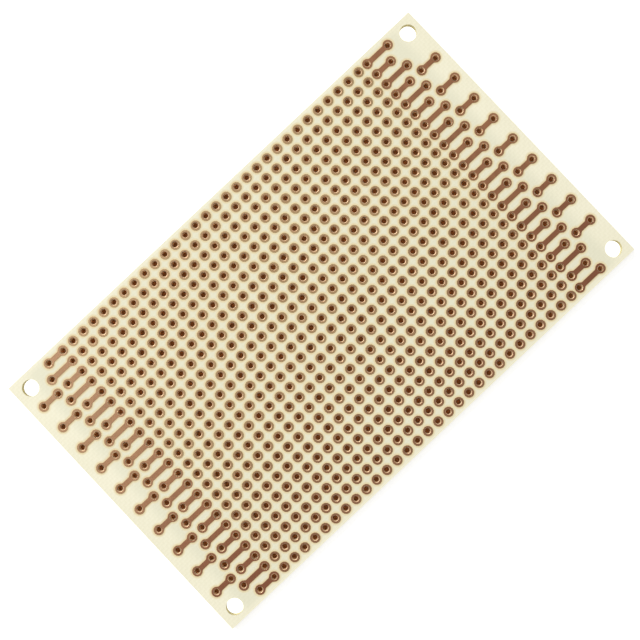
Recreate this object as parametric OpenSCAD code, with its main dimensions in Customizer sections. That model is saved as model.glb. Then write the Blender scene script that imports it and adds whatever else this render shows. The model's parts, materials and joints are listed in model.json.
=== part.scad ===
// Prototype board: a drilled laminate with a grid of plated lands and rows of linked lands at both ends.
// X runs along the board, Y across it, and Z up. The origin is the centre of the underside.
// Row 1 is the row of holes furthest along +Y, and column 1 is the one furthest along -X.

/* [Board] */
// Length of the board
board_l = 99.7; // [98:0.1:120]
// Width of the board
board_w = 59.4; // [59:0.1:80]
// Thickness over the copper of both faces
board_t = 1.6; // [1:0.1:2.4]

/* [Mounting holes] */
// Spacing of the mounting holes along the board
mount_span_l = 94; // [93:0.5:94]
// Spacing of the mounting holes across the board
mount_span_w = 54; // [53:0.5:55]
// Diameter of a mounting hole
mount_d = 3.1; // [2.8:0.1:3.4]
// Least distance across the board from an outer linked pair to a mounting hole
mount_clear = 3; // [2.8:0.1:4]

/* [Grid] */
// Distance between neighbouring holes
pitch = 2.54; // [2.5, 2.54]
// Columns of single lands in the field
field_cols = 29; // [9:1:29]
// Rows of holes across the board
rows = 23; // [9:2:23]
// How far the linked lands of the right end are drawn in towards the field
right_inset = 0.38; // [0:0.02:0.4]

/* [Plated holes] */
// Diameter of a copper land
land_d = 1.9; // [1.6:0.05:2]
// Diameter of a finished hole
hole_d = 0.95; // [0.8:0.05:1]
// Thickness of the copper on each face
copper_t = 0.06; // [0.05:0.01:0.08]
// Thickness of the copper in a hole
barrel_t = 0.07; // [0.06:0.01:0.08]
// Radius of the copper's rounded turn from a face into a hole
knee_r = 0.16; // [0.1:0.01:0.16]

/* [Linked lands] */
// Distance between the holes of a short linked pair
short_link = 3.45; // [3.2:0.05:3.5]
// Distance between the holes of a long linked pair
long_link = 5.08; // [4.8:0.04:5.2]
// Width of the copper strip that joins a linked pair
link_w = 0.95; // [0.7:0.05:1.1]
// Radius of the fillet between a strip and a land
neck_r = 0.35; // [0.2:0.05:0.5]

/* [Hidden] */
substrate_colour = [0.92, 0.89, 0.76];
copper_colour = [0.66, 0.44, 0.32];

land_r = land_d / 2;
hole_r = hole_d / 2;
drill_r = hole_r + barrel_t;
row_span = (rows - 1) * pitch;

// The field fills the space between the two inner linked columns, which stand at equal distances
// from the board's centre. The first field column is one pitch from the left one.
inner_x = ((field_cols + 1) * pitch - right_inset) / 2;
first_col_x = pitch - inner_x;
right_grid_x = inner_x + right_inset;

// The mounting holes stand round the middle of the field.
field_x = right_inset / 2;

// An outer linked pair starts one pitch past the end of a short pair, on the undrawn grid.
left_outer_x = -inner_x - short_link - pitch;
right_outer_x = right_grid_x + short_link + pitch;

// How far an end fillet bites into the land's edge, so that the two outlines cross cleanly
neck_bite = 0.015;
neck_steps = 3;
knee_steps = 2;
cut_over = 1;
curve_fn = 48;

odd_rows = [1 : 2 : rows];
even_rows = [2 : 2 : rows - 1];
// The short pair of the last even row stands on the undrawn grid and not with the others.
offset_row = rows - 1;

function row_y(row) = row_span / 2 - (row - 1) * pitch;
function col_x(col) = first_col_x + (col - 1) * pitch;
function clears_mount(row) = abs(row_y(row)) <= mount_span_w / 2 - mount_clear;
function row_name(row) = str("pad_row_", row < 10 ? "0" : "", row);

// Left and right linked pairs, each as the x of its inner hole and the signed distance to its outer hole
left_short = [-inner_x, -short_link];
left_long = [-inner_x, -long_link];
left_outer = [left_outer_x, -short_link];
right_short = [inner_x, short_link];
right_long = [inner_x, long_link];
right_offset = [right_grid_x, short_link];
right_outer = [right_outer_x, short_link];

// Every hole of one row that a barrel lines, as x positions
function pair_holes(pair) = [pair[0], pair[0] + pair[1]];
function left_holes(row) = row % 2 == 0
    ? pair_holes(left_long)
    : concat(pair_holes(left_short), clears_mount(row) ? pair_holes(left_outer) : []);
function right_holes(row) = row % 2 == 1
    ? pair_holes(right_long)
    : concat(pair_holes(row == offset_row ? right_offset : right_short),
        clears_mount(row) ? pair_holes(right_outer) : []);
function row_holes(row) = concat(
    left_holes(row), [for (col = [1 : field_cols]) col_x(col)], right_holes(row));

// The board itself: a plain sheet with square sheared edges, drilled for every barrel and mounting hole
module substrate() color(substrate_colour) {
    sheet_t = board_t - 2 * copper_t;
    drill_l = sheet_t + 2 * cut_over;
    translate([0, 0, board_t / 2])
        difference() {
            cube([board_l, board_w, sheet_t], center = true);
            for (row = [1 : rows], x = row_holes(row))
                translate([x, row_y(row), 0])
                    cylinder(r = drill_r, h = drill_l, center = true, $fn = curve_fn);
            for (x = [-1, 1], y = [-1, 1])
                translate([field_x + x * mount_span_l / 2, y * mount_span_w / 2, 0])
                    cylinder(d = mount_d, h = drill_l, center = true, $fn = curve_fn);
        }
}

// Points of a quarter turn of the knee, from angle a, round a centre at height z
function knee(a, z) = [for (i = [0 : knee_steps]) let (t = a - 90 * i / knee_steps)
    [hole_r + knee_r * (1 + cos(t)), z + knee_r * sin(t)]];

// Half-section of one plated hole: a land on each face, and the barrel that joins them by rounded knees
module eyelet_section()
    polygon(concat(
        knee(270, knee_r), knee(180, board_t - knee_r),
        [[land_r, board_t], [land_r, board_t - copper_t], [drill_r, board_t - copper_t]],
        [[drill_r, copper_t], [land_r, copper_t], [land_r, 0]]));

// One plated hole
module eyelet() rotate_extrude($fn = curve_fn) eyelet_section();

// One row of single lands across the field, each a piece of copper by itself
module pad_row(row) color(copper_colour)
    for (col = [1 : field_cols]) translate([col_x(col), row_y(row), 0]) eyelet();

// Upper edge of a strip from its middle to the land at x = 0: straight, then a fillet that turns
// outwards round a centre beside the strip until it runs into the land.
function neck_edge() = let (
        fillet_y = link_w / 2 + neck_r,
        fillet_x = sqrt(pow(land_r - neck_bite + neck_r, 2) - pow(fillet_y, 2)),
        turn = atan2(fillet_y, fillet_x))
    [for (i = [0 : neck_steps]) let (a = 270 - (90 - turn) * i / neck_steps)
        [fillet_x + neck_r * cos(a), fillet_y + neck_r * sin(a)]];

// Outline of the strip between two lands that are span apart, with its ends inside the lands' flat rings
module strip(span) {
    edge = neck_edge();
    end = [(hole_r + knee_r + land_r) / 2, edge[neck_steps][1] / 2];
    quarter = concat(edge, [end]);
    half = concat(
        [for (i = [neck_steps + 1 : -1 : 0]) quarter[i]],
        [for (p = quarter) [span - p[0], p[1]]]);
    polygon(concat(half, [for (i = [len(half) - 1 : -1 : 0]) [half[i][0], -half[i][1]]]));
}

// Two plated holes, joined by a strip on each face
module linked_pair(pair) {
    span = abs(pair[1]);
    translate([min(pair[0], pair[0] + pair[1]), 0, 0]) {
        for (x = [0, span]) translate([x, 0, 0]) eyelet();
        for (z = [0, board_t - copper_t]) translate([0, 0, z]) linear_extrude(copper_t) strip(span);
    }
}

// The same linked pair in each of several rows
module linked_rows(pair, in_rows) color(copper_colour)
    for (row = in_rows) translate([0, row_y(row), 0]) linked_pair(pair);

substrate();
for (row = [1 : rows]) pad_row(row);
linked_rows(left_short, odd_rows);  // left_short_links
linked_rows(left_long, even_rows);  // left_long_links
/* left_outer_links */ linked_rows(left_outer, [for (row = odd_rows) if (clears_mount(row)) row]);
/* right_short_links */ linked_rows(right_short, [for (row = even_rows) if (row != offset_row) row]);
linked_rows(right_long, odd_rows);  // right_long_links
/* right_outer_links */ linked_rows(right_outer, [for (row = even_rows) if (clears_mount(row)) row]);
linked_rows(right_offset, [offset_row]);  // right_offset_link
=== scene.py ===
"""Surfaces and finishes of a drilled prototype board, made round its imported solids.

The board is a cream laminate sheet, drilled on a fixed pitch. Each hole of the field is plated: a copper
land on each face, joined by a copper barrel whose edges are rounded where it turns into the hole. The
plated holes at both ends stand in linked pairs, joined by a copper strip on each face.

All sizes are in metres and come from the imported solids. X runs along the board, Y across it and Z up.
"""

import json
import logging
import math
from abc import ABC, abstractmethod
from dataclasses import dataclass, replace
from enum import Enum
from functools import cached_property
from typing import Any, ClassVar, Sequence

import bpy
import numpy as np
from mathutils import Matrix, Vector


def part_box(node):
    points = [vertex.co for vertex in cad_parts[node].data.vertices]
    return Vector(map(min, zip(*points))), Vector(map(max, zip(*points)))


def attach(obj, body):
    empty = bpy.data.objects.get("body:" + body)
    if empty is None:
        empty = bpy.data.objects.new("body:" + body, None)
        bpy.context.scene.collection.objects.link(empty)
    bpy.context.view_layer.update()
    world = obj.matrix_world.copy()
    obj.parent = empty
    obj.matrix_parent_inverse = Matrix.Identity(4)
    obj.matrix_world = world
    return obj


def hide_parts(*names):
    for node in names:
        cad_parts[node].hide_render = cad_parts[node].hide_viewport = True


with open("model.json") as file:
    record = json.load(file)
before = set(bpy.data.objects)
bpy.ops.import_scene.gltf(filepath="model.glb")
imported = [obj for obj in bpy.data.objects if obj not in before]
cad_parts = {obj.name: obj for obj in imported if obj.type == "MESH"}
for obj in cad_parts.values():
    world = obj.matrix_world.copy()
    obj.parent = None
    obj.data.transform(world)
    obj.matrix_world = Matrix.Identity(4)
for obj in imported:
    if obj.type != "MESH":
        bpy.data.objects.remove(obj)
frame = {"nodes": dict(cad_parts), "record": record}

LOG = logging.getLogger("prototype_board")
MM = 0.001
BODY = "root"

Colour = tuple[float, float, float]
Socket = bpy.types.NodeSocket
WHITE: Colour = (1.0, 1.0, 1.0)


# ---------------------------------------------------------------------------------------------------
# Sizes
# ---------------------------------------------------------------------------------------------------


class LinkedNode(Enum):
    """The groups of linked lands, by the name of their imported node."""

    LEFT_SHORT = "left_short_links"
    LEFT_LONG = "left_long_links"
    LEFT_OUTER = "left_outer_links"
    RIGHT_SHORT = "right_short_links"
    RIGHT_LONG = "right_long_links"
    RIGHT_OUTER = "right_outer_links"
    RIGHT_OFFSET = "right_offset_link"


def field_rows() -> list[str]:
    """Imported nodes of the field's rows, from the row furthest along +Y."""
    return sorted(name for name in frame["nodes"] if name.startswith("pad_row_"))


@dataclass(frozen=True)
class BoardSizes:
    """Driving sizes of the board.

    Attributes:
        length: Length of the sheet.
        width: Width of the sheet.
        top: Height of the upper copper face.
        copper_t: Thickness of the copper on each face.
        pitch: Distance between neighbouring holes of the field.
        hole_r: Radius of a finished plated hole.
        land_r: Radius of a land.
        strip_w: Width of the strip that joins two linked lands.
        mount_mid: Place of the mounting holes' middle, along the board.
        mount_x: Distance of a mounting hole from their middle, along the board.
        mount_y: Distance of a mounting hole from their middle, across the board.
        mount_r: Radius of a mounting hole.
    """

    length: float
    width: float
    top: float
    copper_t: float
    pitch: float
    hole_r: float
    land_r: float
    strip_w: float
    mount_mid: float
    mount_x: float
    mount_y: float
    mount_r: float

    @classmethod
    def from_frame(cls, record: dict[str, Any], strip_w: float = 0.95 * MM) -> "BoardSizes":
        """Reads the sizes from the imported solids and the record's mounts.

        Args:
            record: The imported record.
            strip_w: Width of the strip that joins two linked lands.

        Returns:
            The sizes of this board.
        """
        sheet_low, sheet_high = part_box("substrate")
        first_row, next_row = field_rows()[:2]
        first_low, first_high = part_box(first_row)
        next_low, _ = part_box(next_row)
        mounts = {mount["name"]: mount for mount in record["mounts"]}
        screws = mounts["mounting_holes"]["dims"]
        return cls(
            length=sheet_high.x - sheet_low.x,
            width=sheet_high.y - sheet_low.y,
            top=first_high.z,
            copper_t=sheet_low.z,
            pitch=first_low.y - next_low.y,
            hole_r=mounts["lead_hole"]["dims"]["r_mm"] * MM,
            land_r=(first_high.y - first_low.y) / 2,
            strip_w=strip_w,
            mount_mid=mounts["mounting_holes"]["pos_m"][0],
            mount_x=screws["spacing_x_mm"] * MM / 2,
            mount_y=screws["spacing_y_mm"] * MM / 2,
            mount_r=screws["hole_r_mm"] * MM,
        )


@dataclass(frozen=True)
class Cluster:
    """Like lands that stand in a regular pattern, each a disc or a strip along X.

    Attributes:
        first: Least place of a land's middle line, along and across the board.
        last: Greatest place of a land's middle line, along and across the board.
        steps: Distance from one land to the next along and across the board, or 0 where one strip runs
            from first to last.
        reach: Distance from a land's middle line to its edge.
    """

    first: tuple[float, float]
    last: tuple[float, float]
    steps: tuple[float, float]
    reach: float

    @classmethod
    def filling(
            cls, box: tuple[Vector, Vector], steps: tuple[float, float], land_r: float, reach: float,
    ) -> "Cluster":
        """Finds a pattern from the box that it fills.

        Args:
            box: Lowest and highest corner of the box.
            steps: Distance from one land to the next, as in the pattern.
            land_r: Radius of a land.
            reach: Distance from a land's middle line to its edge.

        Returns:
            The pattern.
        """
        low, high = box
        return cls((low.x + land_r, low.y + land_r), (high.x - land_r, high.y - land_r), steps, reach)

    @classmethod
    def every(cls, sizes: BoardSizes) -> list["Cluster"]:
        """Finds the field and every group of linked lands.

        Args:
            sizes: Sizes of the board.

        Returns:
            The field first, then the lands and the strips of each group.
        """
        rows, pitch, land_r = field_rows(), sizes.pitch, sizes.land_r
        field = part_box(rows[-1])[0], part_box(rows[0])[1]
        found = [cls.filling(field, (pitch, pitch), land_r, land_r)]
        for linked in LinkedNode:
            strips = cls.filling(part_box(linked.value), (0.0, 2.0 * pitch), land_r, sizes.strip_w / 2)
            span = strips.last[0] - strips.first[0]
            found += [replace(strips, steps=(span, 2.0 * pitch), reach=land_r), strips]
        return found


# ---------------------------------------------------------------------------------------------------
# Meshes
# ---------------------------------------------------------------------------------------------------


@dataclass
class Surface:
    """A closed surface of four-sided faces, with values at its vertices.

    Attributes:
        points: (n, 3) places of the vertices.
        faces: (m, 4) vertex numbers of the faces, counter-clockwise from outside.
        normals: (m, 4, 3) directions that the corners of the faces are shaded in.
        values: Named (n,) arrays of numbers that the finishes read.
    """

    points: np.ndarray
    faces: np.ndarray
    normals: np.ndarray
    values: dict[str, np.ndarray]

    def welded(self, reach: float = 1e-7) -> "Surface":
        """Joins vertices that fall in the same cell of a fine grid.

        Args:
            reach: Size of a cell.

        Returns:
            The surface with each cell's vertices made one.
        """
        cells = np.round(self.points / reach).astype(np.int64)
        _, first, joined = np.unique(cells, axis=0, return_index=True, return_inverse=True)
        values = {name: value[first] for name, value in self.values.items()}
        return Surface(self.points[first], joined.reshape(-1)[self.faces], self.normals, values)

    def piece(self, name: str) -> bpy.types.Object:
        """Makes the surface an object at the origin.

        Args:
            name: Name of the object and its mesh.

        Returns:
            The new object, linked to the scene.
        """
        mesh = bpy.data.meshes.new(name)
        mesh.from_pydata(self.points.tolist(), [], self.faces.tolist())
        for key, value in self.values.items():
            layer = mesh.attributes.new(name=key, type="FLOAT", domain="POINT")
            layer.data.foreach_set("value", value.astype(np.float32))
        mesh.shade_smooth()
        mesh.normals_split_custom_set(self.normals.reshape(-1, 3).tolist())
        mesh.update()
        made = bpy.data.objects.new(name, mesh)
        bpy.context.scene.collection.objects.link(made)
        return made


def ring_faces(rings: int, steps: int) -> np.ndarray:
    """Faces of a closed tube, whose rings join round a hole and whose last ring joins the first.

    Vertex (ring, step) has the number ring * steps + step.

    Args:
        rings: How many rings of vertices there are.
        steps: How many vertices a ring has.

    Returns:
        (rings, steps, 4) vertex numbers.
    """
    ring, step = np.meshgrid(np.arange(rings), np.arange(steps), indexing="ij")
    next_ring, next_step = (ring + 1) % rings, (step + 1) % steps
    return np.stack(
        [ring * steps + step, ring * steps + next_step,
         next_ring * steps + next_step, next_ring * steps + step], axis=-1)


def circle(angles: np.ndarray) -> np.ndarray:
    """(n, 2) points of the unit circle at the given angles."""
    return np.stack([np.cos(angles), np.sin(angles)], axis=-1)


def directions(outline: np.ndarray) -> np.ndarray:
    """(n, 2) unit vectors from the origin towards the points of an outline."""
    return circle(np.arctan2(outline[:, 1], outline[:, 0]))


@dataclass(frozen=True)
class PlatingSection:
    """Half-section of the copper of one plated hole. Each of its points carries a ring of vertices.

    Attributes:
        hole_r: Radius of the finished hole.
        barrel_t: Thickness of the copper in the hole.
        land_r: Radius of the land.
        knee_r: Radius of the turn from a face into the hole.
        copper_t: Thickness of the copper on a face.
        height: Distance between the two copper faces.
    """

    hole_r: float
    barrel_t: float
    land_r: float
    knee_r: float
    copper_t: float
    height: float

    # How many rings there are. Outline rings follow the land's outline, and lining rings line the hole,
    # from the wide ends of its turns to its narrow middle. A wall is a band of faces on the outline.
    RINGS: ClassVar[int] = 10
    OUTLINE: ClassVar[tuple[int, ...]] = (0, 1, 6, 7)
    LINING: ClassVar[tuple[int, ...]] = (2, 3, 4, 5)
    WIDE: ClassVar[tuple[int, ...]] = (2, 5)
    NARROW: ClassVar[tuple[int, ...]] = (3, 4)
    WALLS: ClassVar[tuple[int, ...]] = (0, 6)

    @classmethod
    def of(
            cls, sizes: BoardSizes, barrel_t: float = 0.07 * MM, knee_r: float = 0.16 * MM,
    ) -> "PlatingSection":
        """Section of this board's plated holes.

        Args:
            sizes: Sizes of the board.
            barrel_t: Thickness of the copper in a hole.
            knee_r: Radius of the turn into a hole.

        Returns:
            The section.
        """
        return cls(sizes.hole_r, barrel_t, sizes.land_r, knee_r, sizes.copper_t, sizes.top)

    def profile(self) -> np.ndarray:
        """Lists the section's points, once round the copper from the foot of the upper land's outline.

        Returns:
            (10, 2) radius and height of each ring.
        """
        top, skin, knee = self.height, self.copper_t, self.knee_r
        drill_r, flat_r = self.hole_r + self.barrel_t, self.hole_r + knee
        return np.array([
            (self.land_r, top - skin), (self.land_r, top), (flat_r, top), (self.hole_r, top - knee),
            (self.hole_r, knee), (flat_r, 0.0), (self.land_r, 0.0), (self.land_r, skin),
            (drill_r, skin), (drill_r, top - skin)])

    @classmethod
    def mask(cls, rings: Sequence[int]) -> np.ndarray:
        """(10, 1) array that is 1 on the given rings and 0 on the others."""
        return np.isin(np.arange(cls.RINGS), rings).astype(float)[:, None]

    def carried(self, outline: np.ndarray, shift: np.ndarray, factor: np.ndarray) -> np.ndarray:
        """Carries the section once round each of several holes, all of them at the origin.

        A ring on the outline takes the outline's points. Any other vertex stands at its ring's radius, in
        the direction of the outline's point. The rings that line the hole then move by its shift.

        Args:
            outline: (steps, 2) outline of the land.
            shift: (holes, 2) shift of each hole's lining.
            factor: (holes,) factor on the radius of each hole's turn.

        Returns:
            (holes, rings, steps, 3) vertices.
        """
        radii, heights = self.profile().T
        turn = self.mask(self.WIDE)[:, 0] * self.knee_r * (factor[:, None] - 1.0)
        flat = (radii + turn)[..., None, None] * directions(outline)
        flat = np.where(self.mask(self.OUTLINE)[..., None] > 0, outline, flat)
        flat = flat + self.mask(self.LINING)[..., None] * shift[:, None, None]
        level = np.broadcast_to(heights[:, None, None], (*flat.shape[:3], 1))
        return np.concatenate([flat, level], axis=-1)

    def shading(self, outline: np.ndarray, outward: np.ndarray) -> np.ndarray:
        """Directions to shade the faces in, which make each turn into the hole a true quarter round.

        A face band runs from one ring to the next. Each end of it is shaded away from the hole's axis by
        its first number, along +Z by its second, and away from the outline where its third says so.

        Args:
            outline: (steps, 2) outline of the land.
            outward: (steps, 2) direction away from the outline at each point.

        Returns:
            (rings, steps, 4, 3) directions, one for each corner of each face.
        """
        side, up, down, inward, barrel = (0, 0, 1), (0, 1, 0), (0, -1, 0), (-1, 0, 0), (1, 0, 0)
        bands = np.array([
            (side, side), (up, up), (up, inward), (inward, inward), (inward, down),
            (down, down), (side, side), (up, up), (barrel, barrel), (down, down)], float)
        ends = bands[:, [0, 0, 1, 1]][:, None]
        step = np.arange(len(outline))[:, None] + (0, 1, 1, 0)
        radial, edge = (way[step % len(outline)] for way in (directions(outline), outward))
        flat = ends[..., :1] * radial + ends[..., 2:] * edge
        return np.concatenate([flat, np.broadcast_to(ends[..., 1:2], (*flat.shape[:3], 1))], axis=-1)


@dataclass(frozen=True)
class Drift:
    """How far the copper of one hole strays from the next.

    Attributes:
        lean: How far every hole's lining stands off its land's middle, along and across the board.
        centre: Most that one hole's lining strays from there.
        knee: Most that a turn's radius grows or shrinks, as a share of it.
        tone: Middle and spread of the tone.
        seed: Start of the random draws.
    """

    lean: tuple[float, float] = (0.005 * MM, 0.038 * MM)
    centre: float = 0.025 * MM
    knee: float = 0.3
    tone: tuple[float, float] = (0.5, 0.2)
    seed: int = 7

    def draws(self, count: int, salt: int) -> tuple[np.ndarray, np.ndarray, np.ndarray]:
        """Random numbers for several holes.

        Args:
            count: How many holes there are.
            salt: Number of the piece, which gives it draws of its own.

        Returns:
            (count, 2) shift of the lining, (count,) factor on the turn's radius, and (count,) tone from
            0, dark, to 1, bright.
        """
        random = np.random.default_rng((self.seed, salt))
        angle = random.uniform(0.0, 2.0 * np.pi, count)
        shift = self.centre * np.sqrt(random.uniform(0.0, 1.0, count))
        factor = 1.0 + self.knee * random.uniform(-1.0, 1.0, count)
        tone = np.clip(random.normal(*self.tone, count), 0.0, 1.0)
        return shift[:, None] * circle(angle) + self.lean, factor, tone


# ---------------------------------------------------------------------------------------------------
# Nodes of a finish
# ---------------------------------------------------------------------------------------------------


class Graph:
    """Short ways to add and join the nodes of one tree."""

    def __init__(self, tree: bpy.types.NodeTree) -> None:
        """Starts from an empty tree.

        Args:
            tree: The node tree to fill.
        """
        self.tree = tree
        self.tree.nodes.clear()

    @classmethod
    def principled(cls, name: str) -> tuple[bpy.types.Material, "Graph", bpy.types.Node]:
        """Starts a material with a shader of its own.

        Args:
            name: Name of the material.

        Returns:
            The material, its graph, and its Principled shader.
        """
        made = bpy.data.materials.new(name)
        made.use_nodes = True
        graph = cls(made.node_tree)
        result = graph.add("ShaderNodeOutputMaterial")
        shader = graph.add("ShaderNodeBsdfPrincipled")
        graph.feed(result.inputs["Surface"], shader.outputs[0])
        return made, graph, shader

    def add(self, kind: str, **settings: Any) -> bpy.types.Node:
        """Adds one node.

        Args:
            kind: The node's type name.
            **settings: Properties of the node and their values.

        Returns:
            The new node.
        """
        made = self.tree.nodes.new(kind)
        for name, value in settings.items():
            setattr(made, name, value)
        return made

    def feed(self, target: Socket, source: Any) -> None:
        """Links a socket to an input, or sets a plain value there.

        Args:
            target: The input.
            source: A socket, a number, a colour or a vector.
        """
        if isinstance(source, bpy.types.NodeSocket):
            self.tree.links.new(source, target)
        elif target.type == "RGBA" and len(source) == 3:
            target.default_value = (*source, 1.0)
        else:
            target.default_value = source

    def math(self, operation: str, *terms: Any) -> Socket:
        """One arithmetic step.

        Args:
            operation: Name of the operation.
            *terms: Sockets or numbers.

        Returns:
            The result.
        """
        step = self.add("ShaderNodeMath", operation=operation)
        for target, source in zip(step.inputs, terms):
            self.feed(target, source)
        return step.outputs[0]

    def hypotenuse(self, first: Socket, second: Socket) -> Socket:
        """Square root of the sum of two squares."""
        squares = (self.math("MULTIPLY", side, side) for side in (first, second))
        return self.math("SQRT", self.math("ADD", *squares))

    def span(self, value: Any, low: float, high: float, start: float = 0.0, end: float = 1.0) -> Socket:
        """Carries a value smoothly from one span to another.

        Args:
            value: The value to carry.
            low: Where the first span starts.
            high: Where the first span ends.
            start: Result at low.
            end: Result at high.

        Returns:
            The result, held between start and end.
        """
        step = self.add("ShaderNodeMapRange", interpolation_type="SMOOTHSTEP")
        for target, source in zip(step.inputs, (value, low, high, start, end)):
            self.feed(target, source)
        return step.outputs[0]

    def blend(self, share: Any, first: Any, second: Any) -> Socket:
        """Mixes two colours.

        Args:
            share: How much of the second colour shows.
            first: Colour at share 0.
            second: Colour at share 1.

        Returns:
            The mixed colour.
        """
        step = self.add("ShaderNodeMix", data_type="RGBA", clamp_factor=True)
        self.feed(step.inputs["Factor"], share)
        colours = [socket for socket in step.inputs if socket.type == "RGBA"]
        self.feed(colours[0], first)
        self.feed(colours[1], second)
        return next(socket for socket in step.outputs if socket.type == "RGBA")

    def layers(self, base: Any, *above: tuple[Any, Any]) -> Socket:
        """Lays colours over one another.

        Args:
            base: The lowest colour.
            *above: Share and colour of each layer over it, the lowest first.

        Returns:
            The colour that shows.
        """
        for share, colour in above:
            base = self.blend(share, base, colour)
        return base

    def split(self, vector: Socket) -> tuple[Socket, Socket, Socket]:
        """Takes a vector apart.

        Args:
            vector: The vector.

        Returns:
            Its x, y and z.
        """
        parts = self.add("ShaderNodeSeparateXYZ")
        self.feed(parts.inputs[0], vector)
        return parts.outputs[0], parts.outputs[1], parts.outputs[2]

    def value(self, name: str) -> Socket:
        """A number that the mesh carries at its vertices."""
        read = self.add("ShaderNodeAttribute", attribute_type="GEOMETRY", attribute_name=name)
        return read.outputs["Fac"]

    def group(self, effect: bpy.types.NodeTree, **inputs: Any) -> bpy.types.Node:
        """Places a shared effect.

        Args:
            effect: The effect's node group.
            **inputs: The group's inputs by name.

        Returns:
            The group's node.
        """
        made = self.add("ShaderNodeGroup", node_tree=effect)
        for name, source in inputs.items():
            self.feed(made.inputs[name], source)
        return made

    def bump(self, height: Socket, depth: float) -> Socket:
        """Tilts the surface by a height.

        Args:
            height: The height, from 0 to 1.
            depth: What a height of 1 stands for.

        Returns:
            The tilted normal.
        """
        step = self.add("ShaderNodeBump")
        step.inputs["Strength"].default_value = 1.0
        step.inputs["Distance"].default_value = depth
        self.feed(step.inputs["Height"], height)
        return step.outputs[0]


class Effects:
    """Node groups that the finishes share, each built once."""

    def __init__(self) -> None:
        """Builds the groups."""
        self.mottle = self._mottle()
        self.cloth = self._cloth()

    @staticmethod
    def _open(
            name: str, inputs: dict[str, tuple[str, Any]], outputs: Sequence[str],
    ) -> tuple[Graph, bpy.types.Node, bpy.types.Node]:
        """Starts a group with named inputs and outputs.

        Args:
            name: Name of the group.
            inputs: Socket type and first value by name.
            outputs: Names of the outputs, each a number.

        Returns:
            The group's graph, its input node and its output node.
        """
        tree = bpy.data.node_groups.new(name, "ShaderNodeTree")
        for label, (kind, first) in inputs.items():
            socket = tree.interface.new_socket(name=label, in_out="INPUT", socket_type=kind)
            if first is not None:
                socket.default_value = first
        for label in outputs:
            tree.interface.new_socket(name=label, in_out="OUTPUT", socket_type="NodeSocketFloat")
        graph = Graph(tree)
        return graph, graph.add("NodeGroupInput"), graph.add("NodeGroupOutput")

    def _mottle(self) -> bpy.types.NodeTree:
        """Soft patches of two sizes, as age and handling leave them.

        Patch is a wide noise, and Speck is a finer noise whose lumps are a ninth of the size.

        Returns:
            The group, with Patch and Speck from 0 to 1.
        """
        graph, source, result = self._open(
            "Mottle",
            {"Place": ("NodeSocketVector", None), "Size": ("NodeSocketFloat", 4.0 * MM)},
            ("Patch", "Speck"))
        scale = graph.math("DIVIDE", 1.0, source.outputs["Size"])
        for label, factor, seed in (("Patch", 1.0, 1.0), ("Speck", 9.0, 6.0)):
            noise = graph.add("ShaderNodeTexNoise", noise_dimensions="4D")
            noise.inputs["W"].default_value = seed
            noise.inputs["Detail"].default_value = 3.0
            graph.feed(noise.inputs["Vector"], source.outputs["Place"])
            graph.feed(noise.inputs["Scale"], graph.math("MULTIPLY", scale, factor))
            graph.feed(result.inputs[label], graph.span(noise.outputs["Fac"], 0.3, 0.7))
        return graph.tree

    def _cloth(self) -> bpy.types.NodeTree:
        """Glass cloth under a thin skin of resin: two crossing sets of strands that pass over and under.

        The strand height is the larger of sin(x) and sin(y), each lowered where the other set passes over
        it, with both waving a little along their run.

        Returns:
            The group, with Height from 0 to 1.
        """
        graph, source, result = self._open(
            "Glass cloth",
            {"Place": ("NodeSocketVector", None), "Strand": ("NodeSocketFloat", 0.5 * MM),
             "Waver": ("NodeSocketFloat", 0.6)},
            ("Height",))
        turn = graph.math("DIVIDE", 2.0 * math.pi, source.outputs["Strand"])
        waver = graph.add("ShaderNodeTexNoise")
        graph.feed(waver.inputs["Vector"], source.outputs["Place"])
        graph.feed(waver.inputs["Scale"], graph.math("DIVIDE", 0.2, source.outputs["Strand"]))
        drift = graph.math("MULTIPLY", waver.outputs["Fac"], source.outputs["Waver"])
        drift = graph.math("MULTIPLY", drift, 2.0 * math.pi)
        x, y, _ = graph.split(source.outputs["Place"])
        along, across = (
            graph.math("ADD", graph.math("MULTIPLY", axis, turn), drift) for axis in (x, y))
        over = graph.math("MULTIPLY", graph.math("SINE", graph.math("MULTIPLY", along, 0.5)),
                          graph.math("SINE", graph.math("MULTIPLY", across, 0.5)))
        warp = graph.math("ADD", graph.math("SINE", along), over)
        weft = graph.math("SUBTRACT", graph.math("SINE", across), over)
        graph.feed(result.inputs["Height"], graph.span(graph.math("MAXIMUM", warp, weft), -0.6, 1.8))
        return graph.tree


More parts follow.
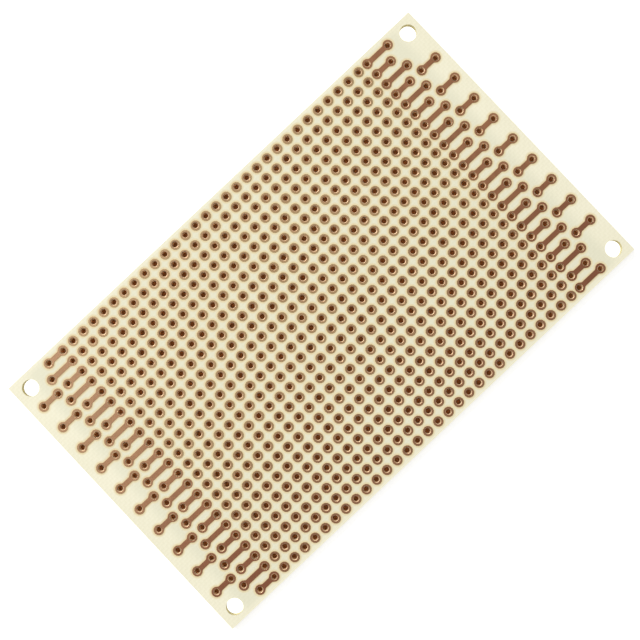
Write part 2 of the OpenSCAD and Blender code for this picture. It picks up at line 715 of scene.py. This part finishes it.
class Plan:
    """Where a place lies on the board, as one material reads it from Object coordinates."""

    def __init__(self, graph: Graph, sizes: BoardSizes) -> None:
        """Adds the place and its parts to a material.

        Args:
            graph: The material's graph.
            sizes: Sizes of the board.
        """
        self.graph, self.sizes = graph, sizes
        self.place = graph.add("ShaderNodeTexCoord").outputs["Object"]
        self.x, self.y, self.z = graph.split(self.place)

    @cached_property
    def off_middle(self) -> tuple[Socket, Socket]:
        """Distance from the board's middle, along and across it."""
        return self.graph.math("ABSOLUTE", self.x), self.graph.math("ABSOLUTE", self.y)

    def outside(self, inset: float = 0.0) -> Socket:
        """Tells what lies outside the sheet's outline.

        Args:
            inset: How far the outline is drawn in.

        Returns:
            1 outside the outline and 0 inside it.
        """
        along, across = self.off_middle
        ends = self.graph.math("GREATER_THAN", along, self.sizes.length / 2 - inset)
        sides = self.graph.math("GREATER_THAN", across, self.sizes.width / 2 - inset)
        return self.graph.math("MAXIMUM", ends, sides)

    def field(self) -> Socket:
        """Tells what lies among the plated holes.

        Returns:
            1 among the plated holes and 0 outside them, faded over about a pitch at each side.
        """
        along, across = self.off_middle
        end, side = self.sizes.mount_x - self.sizes.pitch, self.sizes.width / 2
        return self.graph.math(
            "MULTIPLY",
            self.graph.span(along, end, end + self.sizes.pitch, 1.0, 0.0),
            self.graph.span(across, side - 0.6 * self.sizes.pitch, side, 1.0, 0.0))

    def from_mounting_hole(self) -> Socket:
        """Measures from the mounting holes, which stand at the corners of a rectangle.

        Returns:
            The distance from the nearest one's axis.
        """
        from_mid = self.graph.math("ABSOLUTE", self.graph.math("SUBTRACT", self.x, self.sizes.mount_mid))
        return self.graph.hypotenuse(
            self.graph.math("SUBTRACT", from_mid, self.sizes.mount_x),
            self.graph.math("SUBTRACT", self.off_middle[1], self.sizes.mount_y))

    def from_copper(self) -> Socket:
        """Distance from the edge of the nearest land or strip.

        Along each direction it is the larger of two numbers: how far the place is beyond the pattern's
        ends, and how far it is from the nearest of the pattern's even steps.

        Returns:
            The distance.
        """
        graph = self.graph
        nearest = None
        for cluster in Cluster.every(self.sizes):
            off = []
            ways = zip((self.x, self.y), cluster.first, cluster.last, cluster.steps)
            for axis, first, last, step in ways:
                from_middle = graph.math("ABSOLUTE", graph.math("SUBTRACT", axis, (first + last) / 2))
                beyond = graph.math("SUBTRACT", from_middle, (last - first) / 2)
                from_first = graph.math("SUBTRACT", axis, first)
                between = graph.math("PINGPONG", from_first, step / 2) if step else 0.0
                off.append(graph.math("MAXIMUM", beyond, between))
            distance = graph.math("SUBTRACT", graph.hypotenuse(*off), cluster.reach)
            nearest = distance if nearest is None else graph.math("MINIMUM", nearest, distance)
        return nearest


# ---------------------------------------------------------------------------------------------------
# Finishes
# ---------------------------------------------------------------------------------------------------


@dataclass(frozen=True)
class CopperFinish:
    """Old copper under a thin clear coat: its single lands paler than its strips, and its holes matte.

    Attributes:
        bright: Colour of untarnished copper.
        dull: Colour of tarnished copper.
        land: Colour of a single land, paler than the strips: partly its own tone, partly painted sheen.
        pale_land: The same on the palest lands.
        land_share: How much of that colour a single land takes.
        near_shade: Painted shade, darker and redder, on the lands towards the near side of the board.
        near_shade_share: How much of that colour they take at that side.
        near_shade_span: Where it fades, from -1 at the near side of the board to 1 at the far side.
        corner_sheen: Painted highlight, a paler colour on the lands towards the far left corner.
        corner_sheen_share: How much of that colour they take at that corner.
        corner_sheen_span: Where it comes in, from 0 at the board's middle to 2 at that corner.
        turned: Colour of the rounded turn into a hole and the wall next to it, pale partly as painted
            sheen.
        lining: Colour halfway down a hole, darker than the turn as painted shade deep in the hole.
        hole_shade_span: Where that painted shade fades, as a share of the board's thickness from halfway
            down.
        metallic: How far the faces, and the matte plating in the holes, shine as bare metal.
        roughness: Least and most roughness.
        turned_roughness: Factor on the roughness of the rounded turn.
        coat: Weight of the clear coat.
        coat_roughness: Roughness of the clear coat.
        patch: Size of the patches of tarnish.
        grain: Depth of the plating's grain.
    """

    bright: Colour = (0.285, 0.12, 0.05)
    dull: Colour = (0.195, 0.076, 0.028)
    land: Colour = (0.275, 0.171, 0.075)
    pale_land: Colour = (0.32, 0.213, 0.10)
    land_share: float = 0.95
    near_shade: Colour = (0.15, 0.037, 0.010)
    near_shade_share: float = 0.65
    near_shade_span: tuple[float, float] = (-0.95, 0.05)
    corner_sheen: Colour = (0.35, 0.22, 0.115)
    corner_sheen_share: float = 0.5
    corner_sheen_span: tuple[float, float] = (0.2, 1.7)
    turned: Colour = (0.99, 0.735, 0.45)
    lining: Colour = (0.40, 0.155, 0.055)
    hole_shade_span: tuple[float, float] = (-0.05, 0.22)
    metallic: tuple[float, float] = (0.85, 0.08)
    roughness: tuple[float, float] = (0.34, 0.5)
    turned_roughness: float = 1.25
    coat: float = 0.5
    coat_roughness: float = 0.35
    patch: float = 1.6 * MM
    grain: float = 0.012 * MM

    def material(self, effects: Effects, sizes: BoardSizes) -> bpy.types.Material:
        """Builds the material.

        Args:
            effects: The shared node groups.
            sizes: Sizes of the board, which say how deep a place in a hole is.

        Returns:
            The copper material. It reads rim, lining and tone from the mesh.
        """
        made, graph, shader = Graph.principled("bare_copper")
        plan = Plan(graph, sizes)
        mottle = graph.group(effects.mottle, Place=plan.place, Size=self.patch)
        rim, lining, tone = (graph.value(name) for name in ("rim", "lining", "tone"))

        # Faces: patches of wear, the single lands' paler tone (partly painted sheen), painted shade and
        # highlight
        wear = graph.math("MULTIPLY_ADD", mottle.outputs["Patch"], 0.5, graph.math("MULTIPLY", tone, 0.5))
        on_land = graph.span(rim, 0.0, 0.22, 0.0, self.land_share)
        along = graph.math("DIVIDE", plan.x, sizes.length / 2)
        across = graph.math("DIVIDE", plan.y, sizes.width / 2)
        # Painted shade: darker, redder copper towards the board's near side, where the lamps' sheen falls
        # off
        near_side = graph.span(across, *self.near_shade_span, self.near_shade_share, 0.0)
        # Painted highlight: paler copper towards the far left corner, where the lamps' sheen is strongest
        to_corner = graph.math("SUBTRACT", across, along)
        far_corner = graph.span(to_corner, *self.corner_sheen_span, 0.0, self.corner_sheen_share)
        faces = graph.layers(
            graph.blend(wear, self.dull, self.bright),
            (on_land, graph.blend(wear, self.land, self.pale_land)),
            (near_side, self.near_shade),
            (far_corner, self.corner_sheen))

        # Holes: a pale turn, partly painted sheen, and a wall painted darker towards the middle of the
        # sheet as shade
        rising, falling = graph.span(lining, 0.05, 0.5), graph.span(lining, 0.6, 0.98, 1.0, 0.0)
        turn = graph.math("MULTIPLY", rising, falling)
        height = graph.math("DIVIDE", plan.z, sizes.top)
        off_middle = graph.math("ABSOLUTE", graph.math("SUBTRACT", height, 0.5))
        wall = graph.blend(graph.span(off_middle, *self.hole_shade_span), self.lining, self.turned)
        colour = graph.layers(faces, (turn, self.turned), (graph.span(lining, 0.7, 1.0), wall))
        graph.feed(shader.inputs["Base Color"], colour)

        rough = graph.math("ADD", graph.math("MULTIPLY", mottle.outputs["Speck"], 0.6),
                           graph.math("MULTIPLY", on_land, 0.4))
        rough = graph.math("MULTIPLY", graph.span(rough, 0.0, 1.0, *self.roughness),
                           graph.span(turn, 0.0, 1.0, 1.0, self.turned_roughness))
        graph.feed(shader.inputs["Roughness"], rough)
        graph.feed(shader.inputs["Metallic"], graph.span(lining, 0.1, 0.6, *self.metallic))
        graph.feed(shader.inputs["Coat Weight"], graph.span(turn, 0.0, 1.0, self.coat, 0.0))
        shader.inputs["Coat Roughness"].default_value = self.coat_roughness
        graph.feed(shader.inputs["Normal"], graph.bump(mottle.outputs["Speck"], self.grain))
        return made


@dataclass(frozen=True)
class LaminateFinish:
    """Cream glass-epoxy sheet: smooth faces with the cloth just showing, and coarse cut surfaces.

    Attributes:
        face: Colour of the faces.
        shade: Colour of the faces' warmer patches.
        field: Colour of the faces between the plated holes.
        field_share: How much of that colour they take.
        beside: Painted shade on the faces right beside the copper, which keeps light from the sheet's
            depth.
        beside_reach: How far from the copper that shade goes.
        edge: Colour of the sheared edges.
        fibre: Colour of the glass ends in the sheared edges.
        bore: Colour of the mounting holes' walls, pale partly in its own right, partly as painted light.
        roughness: Roughness of the faces.
        edge_roughness: Roughness of the cut surfaces.
        edge_depth: How far in from the sheet's outline a cut surface counts as its edge.
        patch: Size of the faces' patches.
        fibre_size: Length of a glass end in a cut surface.
        strand: Width of a strand of the cloth.
        relief: Depth of the cloth in the faces.
    """

    face: Colour = (0.95, 0.905, 0.695)
    shade: Colour = (0.86, 0.82, 0.60)
    field: Colour = (0.79, 0.77, 0.58)
    field_share: float = 0.7
    beside: Colour = (0.82, 0.68, 0.39)
    beside_reach: float = 0.55 * MM
    edge: Colour = (0.60, 0.52, 0.33)
    fibre: Colour = (0.78, 0.73, 0.56)
    bore: Colour = (0.86, 0.78, 0.44)
    roughness: float = 0.48
    edge_roughness: float = 0.85
    edge_depth: float = 0.2 * MM
    patch: float = 7.0 * MM
    fibre_size: float = 0.5 * MM
    strand: float = 0.62 * MM
    relief: float = 0.01 * MM

    def material(self, effects: Effects, sizes: BoardSizes) -> bpy.types.Material:
        """Builds the material.

        Args:
            effects: The shared node groups.
            sizes: Sizes of the board, which say where its edges, its field and its copper are.

        Returns:
            The laminate material.
        """
        made, graph, shader = Graph.principled("cream_laminate")
        plan = Plan(graph, sizes)
        mottle = graph.group(effects.mottle, Place=plan.place, Size=self.patch)
        cloth = graph.group(effects.cloth, Place=plan.place, Strand=self.strand)

        # Faces: warm patches, the cloth as a slight change of tone, a warmer field, painted shade by the
        # copper
        warm = graph.math("MULTIPLY_ADD", mottle.outputs["Patch"], 0.35,
                          graph.math("MULTIPLY", cloth.outputs["Height"], 0.3))
        face = graph.layers(
            self.face,
            (warm, self.shade),
            (graph.math("MULTIPLY", plan.field(), self.field_share), self.field),
            (graph.span(plan.from_copper(), 0.0, self.beside_reach, 1.0, 0.0), self.beside))

        # Cut surfaces: layers of cloth lie flat in them, so the glass ends stretch along the board
        stretch = graph.add("ShaderNodeMapping", vector_type="TEXTURE")
        stretch.inputs["Scale"].default_value = (3.0, 3.0, 0.35)
        graph.feed(stretch.inputs["Vector"], plan.place)
        strata = graph.group(effects.mottle, Place=stretch.outputs[0], Size=self.fibre_size)
        edge = graph.blend(strata.outputs["Patch"], self.edge, self.fibre)
        # The mounting holes' walls are paler than the edges, partly as painted light through the
        # translucent sheet
        bore = graph.blend(graph.math("MULTIPLY", strata.outputs["Patch"], 0.25), self.bore, self.edge)
        cut = graph.blend(plan.outside(self.edge_depth), bore, edge)

        normal = graph.add("ShaderNodeNewGeometry").outputs["Normal"]
        flat = graph.math("GREATER_THAN", graph.math("ABSOLUTE", graph.split(normal)[2]), 0.5)
        graph.feed(shader.inputs["Base Color"], graph.blend(flat, cut, face))
        graph.feed(shader.inputs["Roughness"],
                   graph.span(flat, 0.0, 1.0, self.edge_roughness, self.roughness))
        relief = graph.blend(flat, strata.outputs["Speck"], cloth.outputs["Height"])
        graph.feed(shader.inputs["Normal"], graph.bump(relief, self.relief))
        return made


# ---------------------------------------------------------------------------------------------------
# Sub-assemblies
# ---------------------------------------------------------------------------------------------------


@dataclass
class PlatedPiece(ABC):
    """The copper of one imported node: several plated holes, which differ a little from one another.

    Attributes:
        node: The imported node.
        sizes: Sizes of the board.
        section: Section of a plated hole.
        drift: How one hole's copper differs from the next.
        salt: Number of the piece, for its random draws.
    """

    node: str
    sizes: BoardSizes
    section: PlatingSection
    drift: Drift
    salt: int

    @abstractmethod
    def surface(self) -> Surface:
        """The copper of the whole node."""

    def joined(self, points: np.ndarray, side: np.ndarray, shading: np.ndarray, keep: np.ndarray,
               rim: np.ndarray, tone: np.ndarray) -> Surface:
        """Makes the rings of all holes one surface.

        Args:
            points: (holes, rings, steps, 3) vertices.
            side: (holes,) 1, or -1 where a hole is turned half a turn.
            shading: (rings, steps, 4, 3) directions to shade the faces of an unturned hole in.
            keep: (rings, steps) which faces are made.
            rim: (rings, steps) 1 on the outline of a single land, less on a linked one, and 0 elsewhere.
            tone: (holes,) tone of each hole.

        Returns:
            The surface, with rim, lining and tone at its vertices.
        """
        holes, rings, steps = points.shape[:3]
        faces = ring_faces(rings, steps)[keep][None] + np.arange(holes)[:, None, None] * rings * steps
        turned = np.stack([side, side, np.ones(holes)], axis=1)[:, None, None]
        normals = shading[keep][None] * turned
        lining = self.section.mask(self.section.NARROW)
        values = {"rim": rim, "lining": lining, "tone": tone[:, None, None]}
        values = {name: np.broadcast_to(value, points.shape[:3]).ravel() for name, value in values.items()}
        return Surface(points.reshape(-1, 3), faces.reshape(-1, 4), normals.reshape(-1, 4, 3), values)

    def build(self, finish: bpy.types.Material) -> bpy.types.Object:
        """Builds the piece, dresses it and puts it in its node's place.

        Args:
            finish: The copper material.

        Returns:
            The finished piece.
        """
        made = self.surface().piece("plated_" + self.node.removeprefix("pad_"))
        made.data.materials.append(finish)
        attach(made, BODY)
        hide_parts(self.node)
        LOG.info("%s: %d faces, for node %s", made.name, len(made.data.polygons), self.node)
        return made


@dataclass
class PlatedRow(PlatedPiece):
    """One row of single plated holes across the field.

    Attributes:
        steps: Vertices round a hole.
    """

    steps: int = 12

    def centres(self) -> np.ndarray:
        """Spaces the row's holes evenly between the ends of its node's box.

        Returns:
            (n, 2) middles of the holes.
        """
        low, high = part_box(self.node)
        first, last = low.x + self.sizes.land_r, high.x - self.sizes.land_r
        count = round((last - first) / self.sizes.pitch) + 1
        x = np.linspace(first, last, count)
        return np.stack([x, np.full(count, (low.y + high.y) / 2)], axis=1)

    def surface(self) -> Surface:
        """Carries the section round each hole, with a circle as the land's outline.

        Returns:
            The copper of the whole row.
        """
        centres = self.centres()
        shift, factor, tone = self.drift.draws(len(centres), self.salt)
        around = circle(np.linspace(0.0, 2.0 * np.pi, self.steps, endpoint=False))
        outline = self.sizes.land_r * around
        points = self.section.carried(outline, shift, factor)
        points[..., :2] += centres[:, None, None]
        keep = np.ones((self.section.RINGS, self.steps), bool)
        rim = self.section.mask(self.section.OUTLINE)
        shading = self.section.shading(outline, around)
        return self.joined(points, np.ones(len(centres)), shading, keep, rim, tone)


@dataclass
class LinkedLands(PlatedPiece):
    """A group of like linked pairs: two plated holes, joined by a strip on each face.

    Attributes:
        neck_r: Radius of the fillet between the strip and a land.
        neck_steps: Steps along a fillet.
        arc_steps: Steps from a fillet to the far side of the land.
        land_share: How much of the single lands' paler tone, partly painted sheen, the linked lands have.
        tone_salt: Added to the piece's number for the draws of its pairs' tones.
        tolerance: How far off the land's circle its points may stand, as a share of its radius.
    """

    neck_r: float = 0.35 * MM
    neck_steps: int = 2
    arc_steps: int = 5
    land_share: float = 0.1
    tone_salt: int = 100
    tolerance: float = 0.001

    def middles(self) -> np.ndarray:
        """Spaces the pairs two pitches apart across the board, between the ends of their node's box.

        Returns:
            (n, 2) middles of the pairs.
        """
        low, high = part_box(self.node)
        first, last = high.y - self.sizes.land_r, low.y + self.sizes.land_r
        count = round((first - last) / (2.0 * self.sizes.pitch)) + 1
        y = np.linspace(first, last, count)
        return np.stack([np.full(count, (low.x + high.x) / 2), y], axis=1)

    def span(self) -> float:
        """Distance between the two holes of a pair."""
        low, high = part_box(self.node)
        return high.x - low.x - 2.0 * self.sizes.land_r

    def half_outline(self) -> np.ndarray:
        """Outline of one land and its half of the strip, once round its hole at the origin.

        It starts at the strip's middle, where x is half the span, and goes up to the strip's side, back
        to the fillet, along the fillet on a circle beside the strip, and then round the land on its own
        circle. The lower half is the mirror image.

        Returns:
            (steps, 2) points in order of their angle from the direction of the other hole.
        """
        half_w, end_x = self.sizes.strip_w / 2, self.span() / 2
        fillet_y = half_w + self.neck_r
        fillet_x = math.sqrt((self.sizes.land_r + self.neck_r) ** 2 - fillet_y**2)
        meet = math.atan2(fillet_y, fillet_x)
        fillet = self.neck_r * circle(np.linspace(-np.pi / 2, meet - np.pi, self.neck_steps + 1))
        land = self.sizes.land_r * circle(np.linspace(meet, np.pi, self.arc_steps + 1)[1:])
        upper = np.concatenate([[[end_x, half_w]], fillet + (fillet_x, fillet_y), land])
        lower = upper[-2::-1] * (1.0, -1.0)
        return np.concatenate([[[end_x, 0.0]], upper, lower])

    def surface(self) -> Surface:
        """Carries the section round each hole, with the land's outline drawn out to the strip's middle.

        The second hole's half is the first, turned half a turn about the pair's middle, and the two are
        welded there. The faces that would wall off the strip's middle are left out.

        Returns:
            The copper of the whole group.
        """
        outline, middles = self.half_outline(), self.middles()
        steps, count = len(outline), len(middles)
        shift, factor, _ = self.drift.draws(2 * count, self.salt)
        tone = self.drift.draws(count, self.salt + self.tone_salt)[2].repeat(2)
        side = np.tile([1.0, -1.0], count)
        points = self.section.carried(outline, shift, factor)
        points[..., :2] -= (self.span() / 2, 0.0)
        points[..., :2] *= side[:, None, None, None]
        points[..., :2] += middles.repeat(2, axis=0)[:, None, None]

        # The way out of the outline is square to the line between a point's neighbours. Where the strip is
        # cut at its middle, that line would lead round a corner, so the strip's own direction stands for it
        chord = np.roll(outline, -1, axis=0) - np.roll(outline, 1, axis=0)
        chord[[1, -1]] = (-1.0, 0.0), (1.0, 0.0)
        outward = chord[:, ::-1] * (1.0, -1.0) / np.hypot(*chord.T)[:, None]

        shading = self.section.shading(outline, outward)
        keep = np.ones((self.section.RINGS, steps), bool)
        keep[np.ix_(self.section.WALLS, (0, steps - 1))] = False
        on_land = np.hypot(*outline.T) < self.sizes.land_r * (1.0 + self.tolerance)
        rim = self.section.mask(self.section.OUTLINE) * on_land * self.land_share
        return self.joined(points, side, shading, keep, rim, tone).welded()


@dataclass
class Laminate:
    """The drilled sheet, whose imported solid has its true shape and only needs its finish.

    Attributes:
        sizes: Sizes of the board.
        finish: The laminate's finish.
    """

    sizes: BoardSizes
    finish: LaminateFinish

    def build(self, effects: Effects) -> bpy.types.Object:
        """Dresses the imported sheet.

        Args:
            effects: The shared node groups.

        Returns:
            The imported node's object.
        """
        sheet = frame["nodes"]["substrate"]
        material = self.finish.material(effects, self.sizes)
        for place in sheet.material_slots:
            place.material = material
        LOG.info("substrate: %d faces, dressed", len(sheet.data.polygons))
        return sheet


# ---------------------------------------------------------------------------------------------------
# Studio
# ---------------------------------------------------------------------------------------------------


@dataclass(frozen=True)
class Lamp:
    """One soft square lamp that shines at the board.

    Attributes:
        name: Name of the lamp.
        away: Direction of the lamp from the board.
        reach: Distance of the lamp.
        size: Side of the lamp.
        power: Power of the lamp in watts.
    """

    name: str
    away: tuple[float, float, float]
    reach: float
    size: float
    power: float

    def build(self) -> bpy.types.Object:
        """Hangs the lamp over the board.

        Returns:
            The lamp, turned to the middle of the board.
        """
        data = bpy.data.lights.new(self.name, "AREA")
        data.shape = "SQUARE"
        data.size = self.size
        data.energy = self.power
        lamp = bpy.data.objects.new(self.name, data)
        away = Vector(self.away).normalized()
        lamp.location = away * self.reach
        lamp.rotation_euler = away.to_track_quat("Z", "Y").to_euler()
        bpy.context.scene.collection.objects.link(lamp)
        return lamp


@dataclass(frozen=True)
class Studio:
    """Plain studio: a pale floor, a soft sky, two soft lamps, and a camera above the board.

    Attributes:
        eye: Place of the camera.
        target: Point that the camera looks at.
        up_turn: Direction of the picture's upper edge, in degrees from +X towards +Y.
        sensor: Width of the camera's sensor in millimetres.
        lens: Focal length in millimetres.
        clip: Nearest and furthest distance that the camera sees.
        floor_size: Side of the floor.
        floor_patch: Size of the floor's patches.
        floor_tones: The two tones of the floor's patches.
        open_lift: Glow that lifts the open floor to white.
        hole_reach: How far from a mounting hole's axis the floor shows through it, in radii of the hole.
        under_board_shade: Painted shade on the floor under the board, dark reddish brown like copper's
            light.
        under_glow: Painted glow of the floor under the plated holes, for light that the sheet and copper
            pass down.
        sky: Strength of the sky on dull surfaces.
        lamps: The lamps: a strong one low over the board's far side, and a weak one almost overhead.
    """

    eye: tuple[float, float, float] = (-1.86 * MM, -4.91 * MM, 211.6 * MM)
    target: tuple[float, float, float] = (-0.235 * MM, -0.005 * MM, 1.6 * MM)
    up_turn: float = 46.69
    sensor: float = 36.0
    lens: float = 65.367
    clip: tuple[float, float] = (0.01, 10.0)
    floor_size: float = 4.0
    floor_patch: float = 0.4
    floor_tones: tuple[Colour, Colour] = ((0.91, 0.91, 0.905), (0.93, 0.93, 0.925))
    open_lift: float = 0.55
    hole_reach: float = 1.5
    under_board_shade: Colour = (0.31, 0.13, 0.052)
    under_glow: Colour = (0.036, 0.011, 0.002)
    sky: float = 0.44
    lamps: tuple[Lamp, ...] = (
        Lamp("far_lamp", (-0.24, 1.12, 0.97), 1.7, 0.55, 20.6),
        Lamp("left_lamp", (-0.32, 0.24, 1.0), 0.9, 0.35, 0.6))

    def build(self, effects: Effects, sizes: BoardSizes) -> None:
        """Builds the whole studio.

        Args:
            effects: The shared node groups.
            sizes: Sizes of the board.
        """
        self._camera()
        self._sky()
        for lamp in self.lamps:
            lamp.build()
        self._floor(self._floor_finish(effects, sizes))
        bpy.context.scene.view_settings.view_transform = "Standard"
        LOG.info("studio: camera, sky, %d lamps and floor", len(self.lamps))

    def _camera(self) -> None:
        """Points the camera down at the board, turned so that the board lies corner to corner."""
        data = bpy.data.cameras.new("camera")
        data.sensor_width = self.sensor
        data.lens = self.lens
        data.clip_start, data.clip_end = self.clip
        camera = bpy.data.objects.new("camera", data)
        eye, target = Vector(self.eye), Vector(self.target)
        turn = math.radians(self.up_turn)
        back = (eye - target).normalized()
        right = Vector((math.cos(turn), math.sin(turn), 0.0)).cross(back).normalized()
        up = back.cross(right)
        camera.matrix_world = Matrix.Translation(eye) @ Matrix((right, up, back)).transposed().to_4x4()
        bpy.context.scene.collection.objects.link(camera)
        bpy.context.scene.camera = camera

    @staticmethod
    def _seen(graph: Graph) -> Socket:
        """Tells a ray that shows a surface as it looks from one that only carries its light.

        Args:
            graph: The graph to add the steps to.

        Returns:
            1 for a ray that shows a surface straight on, mirrored or through glass, and 0 for any other.
        """
        path = graph.add("ShaderNodeLightPath")
        seen = path.outputs["Is Camera Ray"]
        for name in ("Is Glossy Ray", "Is Transmission Ray"):
            seen = graph.math("MAXIMUM", seen, path.outputs[name])
        return seen

    def _sky(self) -> None:
        """Lights the board evenly from all round, and shows as white."""
        world = bpy.data.worlds.new("sky")
        world.use_nodes = True
        graph = Graph(world.node_tree)
        result = graph.add("ShaderNodeOutputWorld")
        light = graph.add("ShaderNodeBackground")
        graph.feed(light.inputs["Color"], WHITE)
        graph.feed(light.inputs["Strength"], graph.span(self._seen(graph), 0.0, 1.0, self.sky, 1.0))
        graph.feed(result.inputs["Surface"], light.outputs[0])
        bpy.context.scene.world = world

    def _floor(self, finish: bpy.types.Material) -> None:
        """Lays a flat floor under the board.

        Args:
            finish: The floor's material.
        """
        half = self.floor_size / 2
        mesh = bpy.data.meshes.new("floor")
        corners = [(-half, -half, 0.0), (half, -half, 0.0), (half, half, 0.0), (-half, half, 0.0)]
        mesh.from_pydata(corners, [], [(0, 1, 2, 3)])
        mesh.materials.append(finish)
        floor = bpy.data.objects.new("floor", mesh)
        bpy.context.scene.collection.objects.link(floor)

    def _floor_finish(self, effects: Effects, sizes: BoardSizes) -> bpy.types.Material:
        """Builds the floor's material, a near-white that takes the board's shadow.

        Open floor is lifted to white, and so is what shows through the mounting holes, while the floor
        under the plated holes is painted dark with their shade and glows faintly with painted light.

        Args:
            effects: The shared node groups.
            sizes: Sizes of the board.

        Returns:
            The floor's material.
        """
        made = bpy.data.materials.new("pale_floor")
        made.use_nodes = True
        graph = Graph(made.node_tree)
        result = graph.add("ShaderNodeOutputMaterial")
        matte = graph.add("ShaderNodeBsdfDiffuse")
        glow = graph.add("ShaderNodeEmission")
        both = graph.add("ShaderNodeAddShader")
        plan = Plan(graph, sizes)
        mottle = graph.group(effects.mottle, Place=plan.place, Size=self.floor_patch)
        pale = graph.blend(mottle.outputs["Patch"], *self.floor_tones)

        open_floor = plan.outside()
        in_hole = graph.math("LESS_THAN", plan.from_mounting_hole(), self.hole_reach * sizes.mount_r)
        bare = graph.math("MAXIMUM", open_floor, in_hole)
        covered = graph.math("SUBTRACT", 1.0, bare)
        lift = graph.math("MAXIMUM", graph.math("MULTIPLY", open_floor, self.open_lift), in_hole)
        shown = graph.math("MULTIPLY", graph.math("MAXIMUM", lift, covered), self._seen(graph))
        # Under the board the floor is painted dark reddish brown as the holes' shade, with a faint painted
        # glow
        graph.feed(matte.inputs["Color"], graph.blend(bare, self.under_board_shade, pale))
        graph.feed(glow.inputs["Color"], graph.blend(bare, self.under_glow, WHITE))
        graph.feed(glow.inputs["Strength"], shown)
        graph.feed(both.inputs[0], matte.outputs[0])
        graph.feed(both.inputs[1], glow.outputs[0])
        graph.feed(result.inputs["Surface"], both.outputs[0])
        return made


# ---------------------------------------------------------------------------------------------------
# The whole board
# ---------------------------------------------------------------------------------------------------


def main() -> None:
    """Builds the board's pieces in order, then the studio round them."""
    logging.basicConfig(level=logging.INFO, format="%(name)s: %(message)s")
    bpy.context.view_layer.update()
    sizes = BoardSizes.from_frame(frame["record"])
    effects = Effects()
    Laminate(sizes, LaminateFinish()).build(effects)

    copper = CopperFinish().material(effects, sizes)
    section, drift = PlatingSection.of(sizes), Drift()
    rows = field_rows()
    for number, node in enumerate(rows):
        PlatedRow(node, sizes, section, drift, salt=number).build(copper)
    for number, linked in enumerate(LinkedNode, start=len(rows)):
        LinkedLands(linked.value, sizes, section, drift, salt=number).build(copper)

    Studio().build(effects, sizes)


if __name__ == "__main__":
    main()
